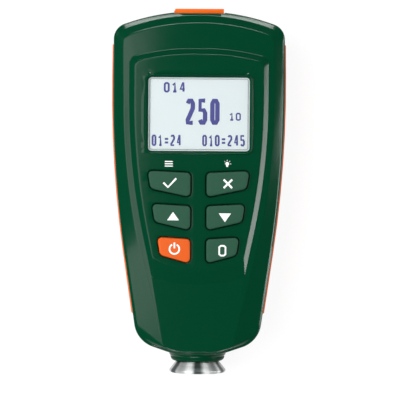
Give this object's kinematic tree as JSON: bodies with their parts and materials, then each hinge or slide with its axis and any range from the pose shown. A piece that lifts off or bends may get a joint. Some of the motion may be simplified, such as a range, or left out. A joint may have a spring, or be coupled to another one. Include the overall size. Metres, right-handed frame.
{
  "type": "coating thickness gauge",
  "caption": "Hand-held gauge with display, rubber keys, side grips and a spring-loaded probe in a flared metal foot at its end.",
  "frame": {"origin": "centre of the part's box at its back face, as it lies on its back", "axes": "+Z out of the display, +Y towards the socket end, -Y towards the probe, +X to the right of the display"},
  "size_m": [0.0544, 0.114, 0.027],
  "materials": {
    "housing_green": "fine textured moulded plastic",
    "grip_orange": "satin moulded rubber",
    "key_green": "satin silicone rubber",
    "key_orange": "satin silicone rubber",
    "lens_clear": "clear polished",
    "display_pale": "pale display with blue characters",
    "white_plastic": "white moulded",
    "black_plastic": "black moulded",
    "dark_rubber": "matt",
    "board_green": "solder mask",
    "steel": "turned, bright",
    "copper": "enamelled copper wire",
    "cell_wrap": "plain cell wrap"
  },
  "bodies": {
    "housing": {"battery_bridge_plate": "steel", "battery_cover": "housing_green", "battery_cover_screw": "steel", "battery_left": "cell_wrap", "battery_plate_negative": "steel", "battery_plate_positive": "steel", "battery_right": "cell_wrap", "battery_spring_left": "steel", "battery_spring_right": "steel", "board_screw_left": "steel", "board_screw_right": "steel", "buzzer": "black_plastic", "contact_strip": "dark_rubber", "controller_chip": "black_plastic", "data_socket": "steel", "display_carrier": "white_plastic", "display_lens": "lens_clear", "display_panel": "display_pale", "front_housing": "housing_green", "keypad_mat": "dark_rubber", "main_board": "board_green", "probe_cap": "black_plastic", "probe_collar": "housing_green", "probe_lead": "dark_rubber", "probe_sleeve": "steel", "probe_spring": "steel", "rear_housing": "housing_green", "screw_lower_left": "steel", "screw_lower_right": "steel", "screw_upper_left": "steel", "screw_upper_right": "steel", "side_grip_left": "grip_orange", "side_grip_right": "grip_orange"},
    "set_key": {"set_key": "key_green"},
    "cancel_key": {"cancel_key": "key_green"},
    "up_key": {"up_key": "key_green"},
    "down_key": {"down_key": "key_green"},
    "power_key": {"power_key": "key_orange"},
    "zero_key": {"zero_key": "key_green"},
    "socket_cover": {"socket_cover": "grip_orange"},
    "probe": {"probe_plunger": "black_plastic", "probe_core": "steel", "probe_tip": "steel", "probe_winding": "copper"}
  },
  "joints": [
    {"name": "set_key_press", "type": "slide", "parent": "housing", "child": "set_key", "axis": [0, 0, -1], "range_m": [0, 0.0008], "stiffness_N_per_m": 400, "springref_m": -0.0005},
    {"name": "cancel_key_press", "type": "slide", "parent": "housing", "child": "cancel_key", "axis": [0, 0, -1], "range_m": [0, 0.0008], "stiffness_N_per_m": 400, "springref_m": -0.0005},
    {"name": "up_key_press", "type": "slide", "parent": "housing", "child": "up_key", "axis": [0, 0, -1], "range_m": [0, 0.0008], "stiffness_N_per_m": 400, "springref_m": -0.0005},
    {"name": "down_key_press", "type": "slide", "parent": "housing", "child": "down_key", "axis": [0, 0, -1], "range_m": [0, 0.0008], "stiffness_N_per_m": 400, "springref_m": -0.0005},
    {"name": "power_key_press", "type": "slide", "parent": "housing", "child": "power_key", "axis": [0, 0, -1], "range_m": [0, 0.0008], "stiffness_N_per_m": 400, "springref_m": -0.0005},
    {"name": "zero_key_press", "type": "slide", "parent": "housing", "child": "zero_key", "axis": [0, 0, -1], "range_m": [0, 0.0008], "stiffness_N_per_m": 400, "springref_m": -0.0005},
    {"name": "socket_cover_hinge", "type": "hinge", "parent": "housing", "child": "socket_cover", "pos_m": [0, 0.056, 0.0094], "axis": [-1, 0, 0], "range_deg": [0, 110]},
    {"name": "probe_slide", "type": "slide", "parent": "housing", "child": "probe", "axis": [0, 1, 0], "range_m": [0, 0.0015], "stiffness_N_per_m": 300, "springref_m": -0.001, "deforming": ["probe_spring"]}
  ]
}
